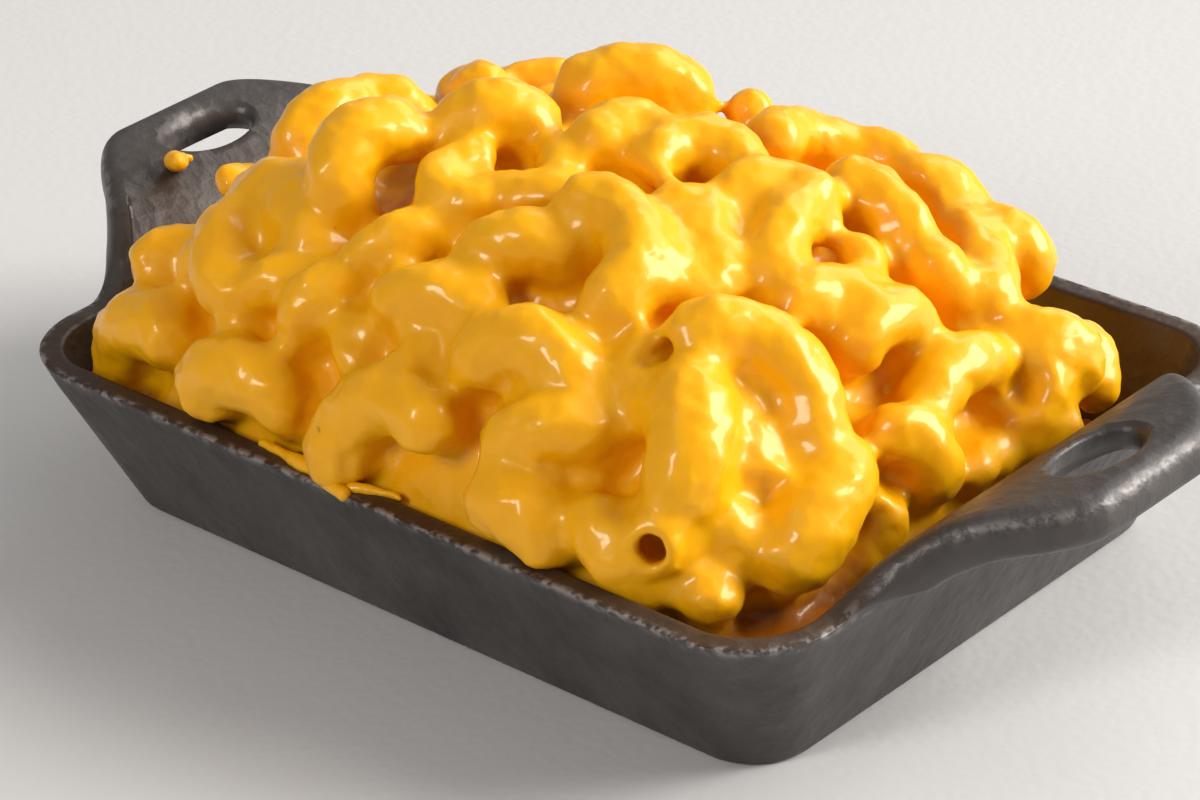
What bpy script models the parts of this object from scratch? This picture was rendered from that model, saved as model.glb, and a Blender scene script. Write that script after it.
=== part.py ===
"""Macaroni and cheese heaped in a small two-eared cast-iron server.

Two solids: the cast dish, which is one loft of wall sections round a rounded
rectangle with an ear at each short end, and the heap of sauced elbow macaroni
that fills it. Lengths below are in millimetres and become metres in place().
Origin: centre of the dish's flat base. +X runs from ear to ear, +Z is up.
"""
import math
import random

import bmesh
import bpy
from mathutils import Vector

MM = 0.001
OVERHANG = 0.5                 # the food may hang this far over the long rims
GAP = 0.3                      # clearance between the food and the iron

# ---- dish ----------------------------------------------------------------
RIM_HALF_LENGTH = 70.0
RIM_HALF_WIDTH = 51.7
RIM_HEIGHT = 24.7
RIM_CORNER_R = 13.4
BASE_INSET = 10.0              # how far the base stands in from the rim
BASE_CORNER_R = 8.7
BASE_EDGE_R = 1.6
WALL = 3.4                     # wall thickness, measured level
FLOOR = 4.0
FLOOR_FILLET = 5.0

# ---- ears ----------------------------------------------------------------
EAR_ROLL_R = 18.2              # the end wall rolls outward on this radius
EAR_TIP_SLOPE = math.radians(9.0)
EAR_REACH = 27.0               # from the inner rim edge, measured along the roll
EAR_FLAT_HALF = 11.0           # half width of the ear's nearly straight tip
EAR_ROOT_HALF = {1: 38.3, -1: 35.2}   # where each ear melts into the rim, as cast
EAR_PLATE = 4.0
HOLE_AT = 19.0                 # hole centre along the roll
HOLE_HALF_Y = 7.6
HOLE_HALF_T = 4.4
HOLE_MOUTH = 1.2               # how far the hole's rounded mouth opens out
HOLE_STEPS = 20                # sides of the oval
CUT_ABOVE = 6.0                # the hole's cutter starts this far above the ear
CUT_BELOW = 9.0                # and ends this far under it
MOUTH_SPREAD = (0.3, 0.4)      # the flare starts this far outside each face

# ---- heap ----------------------------------------------------------------
MOUND_CENTRE = (-1.9, -2.8)
MOUND_HALF = (60.0, 45.0)
MOUND_FOOT = 21.0
MOUND_RISE = 35.0
MOUND_SQUARENESS = 3.75
MOUND_ROUNDNESS = 1.9
EMPTY_CORNER_NORMAL = (0.6, 0.8)
EMPTY_CORNER_AT = 55.0         # the heap stops short of the back right corner
CORNER_FALL = (9.0, 4.0)       # and falls away from this far before it to past it
SAUCE_DEPTH = 4.5              # solid cheese lies this far under the top layer
CORNER_LEVEL = 9.0             # cheese level in the empty corner
SAUCE_STEP = 3.0               # grid of the cheese surface
SAUCE_FOOT = 1.0               # the cheese body starts below the dish's floor
VOXEL = 1.35
HEAP_FACES = 5600
END_CAP = (0.75, 0.55)         # a tube's rounded end: reach and rim, in radii

# ---- room in the dish that the heap is trimmed to ------------------------
ROOM_FLOOR_IN = 3.4            # extra inset where the floor fillet starts
ROOM_FILLET_IN = 0.6           # extra inset where the fillet meets the wall
ROOM_FILLET_RISE = 0.8         # that height, as a share of the fillet radius
ROOM_CORNERS = (3.0, 6.0)      # plan corner radius at those two levels
ROOM_ABOVE = 60.0              # open height over the rim

# Each elbow is a bent tube: one end, the crown of the bend, the other end,
# then the sauced radius at the two ends.
ELBOWS = [
    # left end
    ((-56, -39, 22), (-53, -40, 28), (-43, -41, 30), 5.5, 5.2),
    ((-55, -33, 34), (-54, -31, 34), (-44, -34, 38), 4.9, 4.9),
    ((-39, -29, 44), (-37, -36, 42), (-31, -39, 38), 5.4, 5.2),
    ((-36, -23, 47), (-28, -29, 47), (-23, -32, 44), 5.0, 5.0),
    ((-42, -26, 44), (-37, -25, 47), (-30, -30, 46), 5.0, 5.0),
    ((-29, -39, 39), (-28, -38, 42), (-23, -37, 40), 3.8, 3.8),
    ((-31, -46, 29), (-22, -46, 33), (-17, -45, 29), 5.6, 4.4),
    ((-16, -35, 44), (-18, -38, 43), (-19, -41, 37), 4.4, 3.2),
    ((-23, -26, 49), (-25, -21, 57), (-23, -16, 56), 4.8, 4.8),
    ((-47, -12, 45), (-47, -8, 48), (-46, -3, 48), 4.8, 4.6),
    ((-48, 0, 47), (-44, 3, 47), (-41, 5, 44), 4.4, 4.4),
    ((-14, -36, 40), (-11, -38, 39), (-8, -40, 37), 4.2, 4.2),
    # crown and back ridge
    ((-15, -27, 46), (-12, -24, 48), (-6, -24, 48), 4.0, 4.0),
    ((-4, -5, 54), (-1, -8, 54), (2, -11, 53), 4.0, 4.0),
    ((-4, -20, 53), (-11, -21, 54), (-11, -13, 55), 3.1, 3.1),
    ((-18, -10, 54), (-15, -6, 57), (-11, -3, 54), 5.3, 5.3),
    ((-5, -17, 52), (2, -15, 53), (8, -12, 52), 4.4, 4.4),
    ((-14, 10, 54), (-9, 15, 56), (-4, 20, 52), 5.0, 5.0),
    ((2, -3, 56), (1, 2, 56), (5, 3, 55), 4.6, 4.6),
    ((1, 27, 50), (2, 27, 48), (9, 21, 49), 3.0, 4.2),
    ((13, 18, 51), (12, 27, 48), (17, 30, 45), 4.2, 4.2),
    ((9, -1, 55), (10, 6, 55), (17, 8, 53), 4.2, 4.2),
    ((22, 0, 53), (23, 5, 53), (25, 9, 50), 4.2, 4.2),
    ((28, 9, 51), (30, 1, 51), (34, -7, 48), 4.7, 4.7),
    ((27, 17, 49), (33, 17, 48), (39, 16, 43), 4.4, 4.4),
    ((27, 31, 44), (30, 32, 44), (33, 34, 40), 4.1, 4.1),
    ((18, 32, 46), (21, 33, 46), (23, 33, 45), 3.0, 3.0),
    # middle of the near side
    ((-14, -32, 47), (-10, -29, 50), (-8, -24, 50), 3.6, 3.6),
    ((-5, -36, 44), (1, -34, 47), (9, -33, 45), 4.8, 4.8),
    ((2, -27, 49), (7, -24, 52), (12, -21, 50), 5.0, 5.0),
    ((11, -17, 55), (18, -16, 55), (24, -26, 49), 4.7, 5.2),
    ((12, -38, 42), (20, -35, 46), (26, -35, 42), 5.2, 5.2),
    ((1, -41, 38), (2, -40, 40), (4, -37, 41), 4.0, 4.0),
    ((37, -25, 48), (45, -17, 44), (51, -20, 36), 4.8, 4.6),
    ((32, -28, 46), (32, -31, 44), (34, -33, 40), 3.4, 3.4),
    ((40, -29, 43), (44, -34, 40), (45, -37, 34), 5.6, 6.2),
    ((36, -32, 44), (38, -34, 42), (40, -35, 39), 2.9, 2.9),
    ((42, -23, 40), (45, -25, 38), (48, -29, 34), 4.4, 4.4),
    ((20, -3, 52), (25, -9, 51), (30, -13, 48), 4.6, 4.6),
    ((18, -7, 53), (23, -12, 51), (28, -16, 49), 4.4, 4.4),
    # right slope
    ((37, 33, 39), (42, 33, 39), (42, 34, 34), 3.9, 3.9),
    ((32, 31, 41), (40, 27, 40), (48, 20, 38), 4.5, 4.5),
    ((36, 7, 47), (38, 7, 46), (40, 4, 44), 3.2, 3.2),
    ((39, -9, 46), (40, -3, 46), (42, 3, 43), 4.4, 4.4),
    ((46, -6, 41), (46, -1, 43), (47, 5, 39), 4.6, 4.6),
    ((43, 14, 43), (44, 16, 42), (46, 16, 39), 4.0, 4.0),
    ((53, 13, 33), (53, 3, 35), (54, -2, 32), 4.4, 4.4),
    ((54, 16, 32), (60, 18, 30), (55, 13, 28), 2.6, 2.4),
    ((52, 19, 33), (56, 22, 33), (58, 24, 29), 4.6, 4.6),
    ((54, 32, 28), (56, 31, 26), (57, 30, 23), 3.0, 3.0),
    ((60, 18, 24), (57, 13, 23), (57, 3, 23), 4.2, 4.2),
    ((54, -9, 33), (57, -5, 30), (57, -5, 25), 4.4, 4.4),
    ((57, -14, 25), (57, -14, 22), (57, -17, 20), 3.8, 3.8),
    # front edge
    ((-6, -47, 27), (-3, -45, 34), (10, -45, 36), 5.2, 4.6),
    ((21, -42, 35), (27, -40, 39), (31, -36, 37), 5.2, 5.2),
    ((22, -46, 30), (27, -46, 30), (30, -45, 27), 5.2, 5.5),
    ((36, -43, 30), (40, -44, 28), (43, -42, 23), 4.8, 4.8),
    ((45, -42, 30), (43, -38, 29), (40, -33, 28), 5.6, 5.6),
    ((48, -34, 31), (50, -34, 29), (51, -33, 25), 4.4, 4.4),
    ((54, -18, 32), (56, -26, 29), (55, -30, 25), 5.4, 6.0),
    ((50, -41, 23), (51, -40, 23), (52, -39, 22), 3.8, 3.8),
    # torn scraps
    ((-50, -23, 44), (-50, -19, 43), (-49, -16, 42), 2.0, 2.2),
    ((-35, -44, 32), (-30, -44, 34), (-26, -43, 36), 1.6, 1.2),
    ((9, -3, 56), (14, -4, 55), (19, -5, 53), 1.6, 1.8),
    ((51, -27, 36), (52, -27, 35), (52, -26, 32), 1.7, 2.2),
    ((31, -19, 50), (32, -18, 49), (33, -17, 49), 1.2, 1.2),
]

# Open tube ends that show: the elbow's first end, hole radius and depth.
OPEN_ENDS = [
    ((-56, -39, 22), 2.0, 4.0),
    ((11, -17, 55), 1.8, 3.0),
    ((22, 0, 53), 1.7, 3.0),
    ((37, -25, 48), 1.6, 2.5),
    ((45, -42, 30), 2.4, 5.0),
]
PLUG_OUT = 3.0                 # a hole's plug starts this far outside the end
PLUG_FLARE = 1.15              # and is this much wider at its mouth

# The far slope: loose elbows laid by a seeded draw.
FAR_SEED = 7
FAR_ELBOWS = 70
FAR_TRIES = 4000
FAR_SPACING = 9.5
FAR_AREA = ((-60.0, 52.0), (-40.0, 42.0))   # x and y ranges of the draw
FAR_BEND_R = 8.0
FAR_HALF_BEND = (0.8, 1.25)    # half of the bend, in radians
FAR_STAND = (-0.2, 0.9)        # how steeply the bend stands up, in radians
FAR_CROWN_RISE = 1.5
FAR_END_DROP = 0.8             # flattens the bend
FAR_SINK = 1.0                 # they lie this deep in the top layer
FAR_RADIUS = (4.1, 5.0)
FAR_NORMAL = (-0.61, 0.63)     # plan direction of the slope they cover
FAR_FROM = 8.0
FAR_CORNER_CLEAR = 11.0        # kept back from the empty corner
FAR_LOW_BY = 4.5               # next to the ridge they lie this much lower,
FAR_LOW_ENDS = (28.0, 42.0)    # fading out over this stretch behind it


def clear_scene():
    for obj in list(bpy.data.objects):
        bpy.data.objects.remove(obj, do_unlink=True)


def place(point):
    return tuple(c * MM for c in point)


def make_material(name, colour, roughness, metallic):
    mat = bpy.data.materials.new(name)
    mat.use_nodes = True
    shader = mat.node_tree.nodes["Principled BSDF"]
    shader.inputs["Base Color"].default_value = (*colour, 1.0)
    shader.inputs["Roughness"].default_value = roughness
    shader.inputs["Metallic"].default_value = metallic
    return mat


def add_object(name, mesh, mat):
    obj = bpy.data.objects.new(name, mesh)
    bpy.context.scene.collection.objects.link(obj)
    mesh.materials.append(mat)
    return obj


def smoothstep(low, high, value):
    u = min(max((value - low) / (high - low), 0.0), 1.0)
    return u * u * (3.0 - 2.0 * u)


# ---- dish ----------------------------------------------------------------

WALL_ANGLE = math.atan2(RIM_HEIGHT, BASE_INSET)
SHARPEST_CORNER_R = 0.6


def corner_radius(lean, inward):
    """Plan corner radius where the wall has leaned in and moved inward."""
    share = (RIM_CORNER_R - BASE_CORNER_R) / BASE_INSET
    return max(RIM_CORNER_R - share * lean - inward, SHARPEST_CORNER_R)


def stations(end_steps, corner_steps, side_steps):
    """Places round the plan: (kind, where), kind 0..3 straight, 4..7 corner."""
    out = []
    for side in range(4):
        steps = end_steps if side % 2 == 0 else side_steps
        out += [(side, -1.0 + 2.0 * k / steps) for k in range(steps + 1)]
        out += [(side + 4, k / corner_steps) for k in range(1, corner_steps)]
    return out


def plan_point(station, half_x, half_y, radius, shift=0.0):
    """Point of a rounded rectangle, going round from the +X end wall."""
    kind, where = station
    turn = (kind % 4) * math.pi / 2.0
    length, width = (half_x, half_y) if kind % 2 == 0 else (half_y, half_x)
    if kind < 4:
        x, y = length, where * (width - radius) + shift
    else:
        bend = where * math.pi / 2.0
        x = length - radius + radius * math.cos(bend)
        y = width - radius + radius * math.sin(bend)
    c, s = round(math.cos(turn)), round(math.sin(turn))
    return (c * x - s * y, s * x + c * y)


def ear_reach(y, end):
    """How far the ear runs along the roll at this place across the end."""
    return EAR_REACH * (1.0 - smoothstep(EAR_FLAT_HALF, EAR_ROOT_HALF[end], abs(y)))


def roll(t, depth):
    """Ear section: along the roll t, then depth below its upper face."""
    bend = WALL_ANGLE - EAR_TIP_SLOPE
    slope = WALL_ANGLE - min(max(t / EAR_ROLL_R, 0.0), bend)
    arc = WALL_ANGLE - slope
    x = EAR_ROLL_R * (math.sin(WALL_ANGLE) - math.sin(WALL_ANGLE - arc))
    z = EAR_ROLL_R * (math.cos(WALL_ANGLE - arc) - math.cos(WALL_ANGLE))
    straight = t - EAR_ROLL_R * arc if t > 0.0 else t
    x += straight * math.cos(slope) + depth * math.sin(slope)
    z += straight * math.sin(slope) - depth * math.cos(slope)
    return RIM_HALF_LENGTH - WALL + x, RIM_HEIGHT + z


# Edge of the wall as (past the edge, depth): the plain rim, then the ear's
# thick rolled bead. Both run from the inner face over to the outer face.
RIM_EDGE = [(-0.5, 0.0), (0.05, 0.3), (0.6, 1.6), (1.1, 2.8), (0.9, 3.15), (-0.6, 3.15),
            (-1.6, 3.15), (-2.6, 3.15)]
EAR_EDGE = [(-1.2, 0.0), (0.0, 0.3), (1.0, 1.4), (1.3, 3.0), (1.0, 5.0), (-0.2, 6.3),
            (-2.5, 6.4), (-5.4, 4.4)]
EAR_BLEND = (0.5, 9.0)         # the rim's edge becomes the bead over this reach
TOP_ROWS = 6
TOP_START = -0.6
UNDER_ROWS = 5
UNDER_END = -3.0
FLOOR_FILLET_STEPS = 3
BASE_EDGE_STEPS = 2


def edge_rows(y, end):
    """Rows of one ear section: upper face, bead and under face."""
    reach = ear_reach(y, end)
    step = 0.05
    slope = (ear_reach(y + step, end) - ear_reach(y - step, end)) / (2.0 * step)
    lean = 1.0 / math.hypot(slope, 1.0)
    ear = smoothstep(*EAR_BLEND, reach)
    edge = [tuple(r + (e - r) * ear for r, e in zip(rim, bead))
            for rim, bead in zip(RIM_EDGE, EAR_EDGE)]
    rows = []
    for k in range(TOP_ROWS):
        u = k / TOP_ROWS
        rows.append((y, (reach + edge[0][0]) * u + TOP_START * (1.0 - u), 0.0))
    for past, depth in edge:
        rows.append((y - slope * lean * past, reach + past * lean, depth))
    last_y, last_t, last_depth = rows[-1]
    for k in range(1, UNDER_ROWS + 1):
        u = k / UNDER_ROWS
        depth = last_depth + (WALL * math.sin(WALL_ANGLE) - last_depth) * u
        rows.append((last_y + (y - last_y) * u, last_t + (UNDER_END - last_t) * u, depth))
    return rows


def wall_section(station):
    """One closed-in section of the dish, from the floor round to the base."""
    rows = []
    floor_lean = BASE_INSET * (1.0 - FLOOR / RIM_HEIGHT)
    for k in range(FLOOR_FILLET_STEPS + 1):
        bend = k / FLOOR_FILLET_STEPS * WALL_ANGLE
        lean = floor_lean + FLOOR_FILLET * (math.tan(WALL_ANGLE / 2.0) - math.sin(bend))
        rows.append(("level", lean, WALL, FLOOR + FLOOR_FILLET * (1.0 - math.cos(bend))))
    kind, where = station
    end = {0: 1, 2: -1}.get(kind, 0)
    y = end * where * (RIM_HALF_WIDTH - RIM_CORNER_R) if end else RIM_HALF_WIDTH
    for row_y, t, depth in edge_rows(y, end or 1):
        x, z = roll(t, depth)
        rows.append(("rim", (row_y - y) * (end or 1), x, z))
    for k in range(BASE_EDGE_STEPS + 1):
        bend = (1.0 - k / BASE_EDGE_STEPS) * WALL_ANGLE
        lean = BASE_INSET + BASE_EDGE_R * (math.tan(WALL_ANGLE / 2.0) - math.sin(bend))
        rows.append(("level", lean, 0.0, BASE_EDGE_R * (1.0 - math.cos(bend))))
    return rows


def dish_point(station, row):
    if row[0] == "level":
        _, lean, inward, z = row
        inset = lean + inward
        radius = corner_radius(lean, inward)
        x, y = plan_point(station, RIM_HALF_LENGTH - inset, RIM_HALF_WIDTH - inset, radius)
    else:
        _, shift, reach_x, z = row
        inset = RIM_HALF_LENGTH - reach_x
        radius = corner_radius(0.0, max(inset, 0.0))
        if station[0] in (0, 2):
            radius = RIM_CORNER_R
            inset_y = 0.0
        else:
            inset_y = inset
        half_y = RIM_HALF_WIDTH - inset_y
        x, y = plan_point(station, RIM_HALF_LENGTH - inset, half_y, radius, shift)
    return (x, y, z)


def build_dish():
    rounds = stations(end_steps=30, corner_steps=6, side_steps=3)
    bm = bmesh.new()
    columns = []
    for station in rounds:
        points = [dish_point(station, row) for row in wall_section(station)]
        columns.append([bm.verts.new(place(point)) for point in points])
    count = len(columns)
    for i, column in enumerate(columns):
        after = columns[(i + 1) % count]
        for j in range(len(column) - 1):
            bm.faces.new((column[j], after[j], after[j + 1], column[j + 1]))
    bm.faces.new([column[0] for column in columns])
    bm.faces.new([column[-1] for column in reversed(columns)])
    bmesh.ops.recalc_face_normals(bm, faces=bm.faces)
    mesh = bpy.data.meshes.new("dish")
    bm.to_mesh(mesh)
    bm.free()
    return mesh


def hole_cutter(side):
    """Oval plug through one ear, flared at both mouths."""
    slope = EAR_TIP_SLOPE
    x0, z0 = roll(HOLE_AT, 0.0)
    along = Vector((math.cos(slope), 0.0, math.sin(slope)))
    down = Vector((math.sin(slope), 0.0, -math.cos(slope)))
    levels = [(-CUT_ABOVE, HOLE_MOUTH), (-MOUTH_SPREAD[0], HOLE_MOUTH), (HOLE_MOUTH, 0.0),
              (EAR_PLATE - HOLE_MOUTH, 0.0), (EAR_PLATE + MOUTH_SPREAD[1], HOLE_MOUTH),
              (EAR_PLATE + CUT_BELOW, HOLE_MOUTH)]
    bm = bmesh.new()
    rings = []
    for depth, grow in levels:
        ring = []
        for k in range(HOLE_STEPS):
            turn = 2.0 * math.pi * k / HOLE_STEPS
            across = (HOLE_HALF_Y + grow) * math.cos(turn)
            reach = (HOLE_HALF_T + grow) * math.sin(turn)
            p = Vector((x0, 0.0, z0)) + along * reach + down * depth
            ring.append(bm.verts.new(place((side * p.x, across, p.z))))
        rings.append(ring)
    for low, high in zip(rings, rings[1:]):
        for k in range(HOLE_STEPS):
            n = (k + 1) % HOLE_STEPS
            bm.faces.new((low[k], low[n], high[n], high[k]))
    bm.faces.new(rings[0])
    bm.faces.new(list(reversed(rings[-1])))
    bmesh.ops.recalc_face_normals(bm, faces=bm.faces)
    mesh = bpy.data.meshes.new("ear_hole")
    bm.to_mesh(mesh)
    bm.free()
    return mesh


def as_guide(obj):
    obj.hide_render = True
    obj.display_type = "WIRE"
    return obj


def add_boolean(obj, tool, operation):
    mod = obj.modifiers.new(operation.lower(), "BOOLEAN")
    mod.operation = operation
    mod.solver = "EXACT"
    mod.object = tool


def baked(obj, name):
    """The object's evaluated shape as a plain mesh."""
    graph = bpy.context.evaluated_depsgraph_get()
    graph.update()
    mesh = bpy.data.meshes.new_from_object(obj.evaluated_get(graph))
    mesh.name = name
    return mesh


# ---- heap ----------------------------------------------------------------

def mound(x, y):
    """Height of the layer that the top elbows' centrelines lie in."""
    across = abs((x - MOUND_CENTRE[0]) / MOUND_HALF[0])
    along = abs((y - MOUND_CENTRE[1]) / MOUND_HALF[1])
    out = (across ** MOUND_SQUARENESS + along ** MOUND_SQUARENESS) ** (1.0 / MOUND_SQUARENESS)
    rise = max(1.0 - out ** MOUND_ROUNDNESS, 0.0) ** (1.0 / MOUND_ROUNDNESS)
    height = MOUND_FOOT + MOUND_RISE * rise
    toward = x * EMPTY_CORNER_NORMAL[0] + y * EMPTY_CORNER_NORMAL[1]
    keep = 1.0 - smoothstep(EMPTY_CORNER_AT - CORNER_FALL[0], EMPTY_CORNER_AT + CORNER_FALL[1], toward)
    low = CORNER_LEVEL + SAUCE_DEPTH
    return low + (height - low) * keep


def bend_line(start, crown, end, steps):
    """Points of the circular arc through the three given places."""
    a, m, b = Vector(start), Vector(crown), Vector(end)
    u, v = m - a, b - a
    w = u.cross(v)
    if w.length_squared < 0.001 * u.length_squared * v.length_squared:
        return [a.lerp(b, k / steps) for k in range(steps + 1)]
    toward = w.cross(u) * v.length_squared + v.cross(w) * u.length_squared
    centre = a + toward / (2.0 * w.length_squared)
    arm = a - centre
    normal = w.normalized()
    side = normal.cross(arm)
    sweep = math.atan2((b - centre).dot(side), (b - centre).dot(arm)) % (2.0 * math.pi)
    turns = [sweep * k / steps for k in range(steps + 1)]
    return [centre + arm * math.cos(t) + side * math.sin(t) for t in turns]


def add_tube(bm, line, radius_a, radius_b, sides=10):
    """A round-ended tube along a line of points."""
    rings = []
    last = len(line) - 1
    ends = [(line[0] - line[1]).normalized(), (line[last] - line[last - 1]).normalized()]
    reach, rim = END_CAP
    spots = [(line[0] + ends[0] * radius_a * reach, radius_a * rim), (line[0], radius_a)]
    spots += [(line[k], radius_a + (radius_b - radius_a) * k / last) for k in range(1, last)]
    spots += [(line[last], radius_b), (line[last] + ends[1] * radius_b * reach, radius_b * rim)]
    side = None
    for k, (spot, radius) in enumerate(spots):
        before = spots[max(k - 1, 0)][0]
        after = spots[min(k + 1, len(spots) - 1)][0]
        along = (after - before).normalized()
        side = along.orthogonal() if side is None else side - along * side.dot(along)
        side.normalize()
        other = along.cross(side)
        ring = []
        for n in range(sides):
            turn = 2.0 * math.pi * n / sides
            out = side * math.cos(turn) + other * math.sin(turn)
            ring.append(bm.verts.new(place(spot + out * radius)))
        rings.append(ring)
    for low, high in zip(rings, rings[1:]):
        for n in range(sides):
            after = (n + 1) % sides
            bm.faces.new((low[n], low[after], high[after], high[n]))
    bm.faces.new(list(reversed(rings[0])))
    bm.faces.new(rings[-1])


def far_elbows():
    """Elbows over the far slope, kept apart from each other and the rest."""
    draw = random.Random(FAR_SEED)
    taken = [Vector(crown) for _, crown, _, _, _ in ELBOWS]
    out = []
    tries = 0
    while len(out) < FAR_ELBOWS and tries < FAR_TRIES:
        tries += 1
        x, y = draw.uniform(*FAR_AREA[0]), draw.uniform(*FAR_AREA[1])
        heading = draw.uniform(0.0, math.pi)
        stand = draw.uniform(*FAR_STAND)
        radius = draw.uniform(*FAR_RADIUS)
        half = draw.uniform(*FAR_HALF_BEND)
        behind = x * FAR_NORMAL[0] + y * FAR_NORMAL[1]
        toward = x * EMPTY_CORNER_NORMAL[0] + y * EMPTY_CORNER_NORMAL[1]
        if behind < FAR_FROM or toward > EMPTY_CORNER_AT - FAR_CORNER_CLEAR:
            continue
        lower = FAR_LOW_BY * (1.0 - smoothstep(*FAR_LOW_ENDS, behind))
        centre = Vector((x, y, mound(x, y) - FAR_SINK - lower))
        if any((centre - other).length < FAR_SPACING for other in taken):
            continue
        slope_x = (mound(x + 1.0, y) - mound(x - 1.0, y)) / 2.0
        slope_y = (mound(x, y + 1.0) - mound(x, y - 1.0)) / 2.0
        normal = Vector((-slope_x, -slope_y, 1.0)).normalized()
        level = Vector((math.cos(heading), math.sin(heading), 0.0))
        level = (level - normal * level.dot(normal)).normalized()
        rise = (normal * math.sin(stand) + normal.cross(level) * math.cos(stand)).normalized()
        along = level * FAR_BEND_R * math.sin(half)
        drop = rise * FAR_BEND_R * (1.0 - math.cos(half)) * FAR_END_DROP
        crown = centre + rise * FAR_CROWN_RISE
        taken.append(centre)
        out.append((centre - along - drop, crown, centre + along - drop, radius, radius))
    return out


def add_sauce(bm):
    """The body of cheese under the top layer, from the floor to the mound."""
    count_x = int(RIM_HALF_LENGTH * 2.0 / SAUCE_STEP) + 1
    count_y = int(RIM_HALF_WIDTH * 2.0 / SAUCE_STEP) + 1
    top = []
    bottom = []
    for i in range(count_x):
        for j in range(count_y):
            x = (i - (count_x - 1) / 2.0) * SAUCE_STEP
            y = (j - (count_y - 1) / 2.0) * SAUCE_STEP
            top.append(bm.verts.new(place((x, y, mound(x, y) - SAUCE_DEPTH))))
            bottom.append(bm.verts.new(place((x, y, SAUCE_FOOT))))
    for i in range(count_x - 1):
        for j in range(count_y - 1):
            a = i * count_y + j
            quad = (a, a + count_y, a + count_y + 1, a + 1)
            bm.faces.new([top[k] for k in quad])
            bm.faces.new([bottom[k] for k in reversed(quad)])
    border = [i * count_y for i in range(count_x)]
    border += [(count_x - 1) * count_y + j for j in range(1, count_y)]
    border += [i * count_y + count_y - 1 for i in range(count_x - 2, -1, -1)]
    border += list(range(count_y - 2, 0, -1))
    for k, a in enumerate(border):
        b = border[(k + 1) % len(border)]
        bm.faces.new((bottom[a], bottom[b], top[b], top[a]))


def inside_of_dish():
    """The room the food may fill: the cavity, and straight up above the rim."""
    bm = bmesh.new()
    rounds = stations(end_steps=1, corner_steps=6, side_steps=1)
    floor_lean = BASE_INSET * (1.0 - (FLOOR + GAP) / RIM_HEIGHT)
    fillet_lean = BASE_INSET * (1.0 - (FLOOR + FLOOR_FILLET) / RIM_HEIGHT)
    inward = WALL + GAP * 1.2
    floor_in = floor_lean + inward + ROOM_FLOOR_IN
    fillet_in = fillet_lean + inward + ROOM_FILLET_IN
    fillet_z = FLOOR + FLOOR_FILLET * ROOM_FILLET_RISE
    rim_z = RIM_HEIGHT + GAP
    rim_r = RIM_CORNER_R - WALL
    levels = [                 # end inset, side inset, corner radius, height
        (floor_in, floor_in, ROOM_CORNERS[0], FLOOR + GAP),
        (fillet_in, fillet_in, ROOM_CORNERS[1], fillet_z),
        (inward, inward, rim_r, rim_z),
        (inward, -OVERHANG, rim_r, rim_z),
        (inward, -OVERHANG, rim_r, RIM_HEIGHT + ROOM_ABOVE),
    ]
    rings = []
    for end_in, side_in, radius, z in levels:
        ring = []
        for station in rounds:
            x, y = plan_point(station, RIM_HALF_LENGTH - end_in, RIM_HALF_WIDTH - side_in, radius)
            ring.append(bm.verts.new(place((x, y, z))))
        rings.append(ring)
    for low, high in zip(rings, rings[1:]):
        for k, vert in enumerate(low):
            n = (k + 1) % len(low)
            bm.faces.new((vert, low[n], high[n], high[k]))
    bm.faces.new(list(reversed(rings[0])))
    bm.faces.new(rings[-1])
    bmesh.ops.recalc_face_normals(bm, faces=bm.faces)
    mesh = bpy.data.meshes.new("inside_of_dish")
    bm.to_mesh(mesh)
    bm.free()
    return mesh


def keep_largest(mesh):
    """Drop every loose shell but the one with most faces."""
    bm = bmesh.new()
    bm.from_mesh(mesh)
    bm.faces.ensure_lookup_table()
    seen = set()
    shells = []
    for face in bm.faces:
        if face in seen:
            continue
        shell = [face]
        seen.add(face)
        for item in shell:
            for edge in item.edges:
                for near in edge.link_faces:
                    if near not in seen:
                        seen.add(near)
                        shell.append(near)
        shells.append(shell)
    shells.sort(key=len, reverse=True)
    spare = [face for shell in shells[1:] for face in shell]
    bmesh.ops.delete(bm, geom=spare, context="FACES")
    loose = [vert for vert in bm.verts if not vert.link_faces]
    bmesh.ops.delete(bm, geom=loose, context="VERTS")
    bm.to_mesh(mesh)
    bm.free()


def hole_plugs():
    """Round plugs that open the tube ends, joined in one mesh."""
    bm = bmesh.new()
    for mouth, radius, depth in OPEN_ENDS:
        elbow = next(item for item in ELBOWS if item[0] == mouth)
        line = bend_line(elbow[0], elbow[1], elbow[2], 12)
        away = (line[0] - line[1]).normalized()
        outside = line[0] + away * (elbow[3] + PLUG_OUT)
        inside = line[0] + away * (elbow[3] * END_CAP[0] - depth)
        add_tube(bm, [outside, outside.lerp(inside, 0.5), inside], radius * PLUG_FLARE, radius, sides=8)
    mesh = bpy.data.meshes.new("tube_holes")
    bm.to_mesh(mesh)
    bm.free()
    return mesh


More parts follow.
